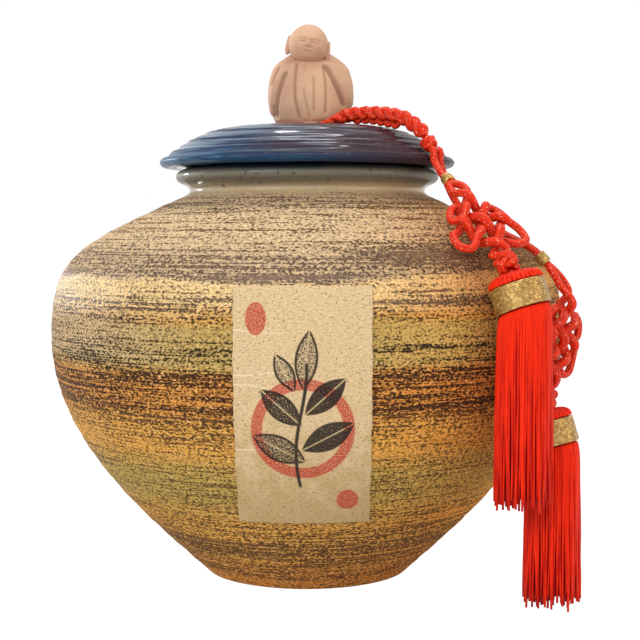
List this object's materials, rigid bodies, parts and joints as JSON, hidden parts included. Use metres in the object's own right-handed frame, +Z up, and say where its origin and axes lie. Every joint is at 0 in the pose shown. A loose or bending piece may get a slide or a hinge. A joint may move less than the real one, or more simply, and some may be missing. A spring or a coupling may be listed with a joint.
{
  "type": "tea storage jar",
  "caption": "Round-bellied stoneware tea jar with a lift-off lid, a seated clay monk as its knob, a paper label on the front and knotted silk tassels hanging over the rim.",
  "frame": {"origin": "on the jar's axis at the plane of the foot, the surface it stands on", "axes": "+Z up along the jar's axis, -Y towards the label, +X towards the side where the tassels hang"},
  "size_m": [0.24, 0.2406, 0.2566],
  "materials": {
    "body_glaze": "semi-matt ash glaze in brushed ochre, olive and brown bands over gritty stoneware",
    "lid_glaze": "glossy blue-black glaze over throwing ridges",
    "bare_clay": "unglazed buff clay, fine and matt",
    "rice_paper": "flecked rice paper, pasted on, slightly creased",
    "red_cord": "braided satin cord with a soft sheen",
    "red_silk": "combed silk thread",
    "gold_thread": "wound metallic gold thread"
  },
  "bodies": {
    "jar": {"jar_body": "body_glaze", "paper_label": "rice_paper"},
    "lid": {"lid": "lid_glaze", "monk_figure": "bare_clay", "foot_loop": "red_cord", "lid_strap": "red_cord", "strap_button_knot": "red_cord"},
    "front_tassel": {"front_cord": "red_cord", "front_gold_wrap": "gold_thread", "front_knot": "red_cord", "front_neck_knot": "red_cord", "front_tassel_head": "red_silk", "front_gold_band": "gold_thread", "front_fringe": "red_silk"},
    "rear_tassel": {"rear_cord": "red_cord", "rear_gold_wrap": "gold_thread", "rear_knot": "red_cord", "rear_neck_knot": "red_cord", "rear_tassel_head": "red_silk", "rear_gold_band": "gold_thread", "rear_fringe": "red_silk"}
  },
  "joints": [
    {"name": "lid_lift", "type": "slide", "parent": "jar", "child": "lid", "axis": [0, 0, 1], "range_m": [0, 0.12]},
    {"name": "front_swing", "type": "hinge", "parent": "lid", "child": "front_tassel", "pos_m": [0.05426, -0.04015, 0.1995], "axis": [-0.6947, -0.7193, 0], "range_deg": [0, 75]},
    {"name": "rear_swing", "type": "hinge", "parent": "lid", "child": "rear_tassel", "pos_m": [0.05426, -0.04015, 0.1995], "axis": [-0.6947, -0.7193, 0], "range_deg": [0, 75]}
  ]
}
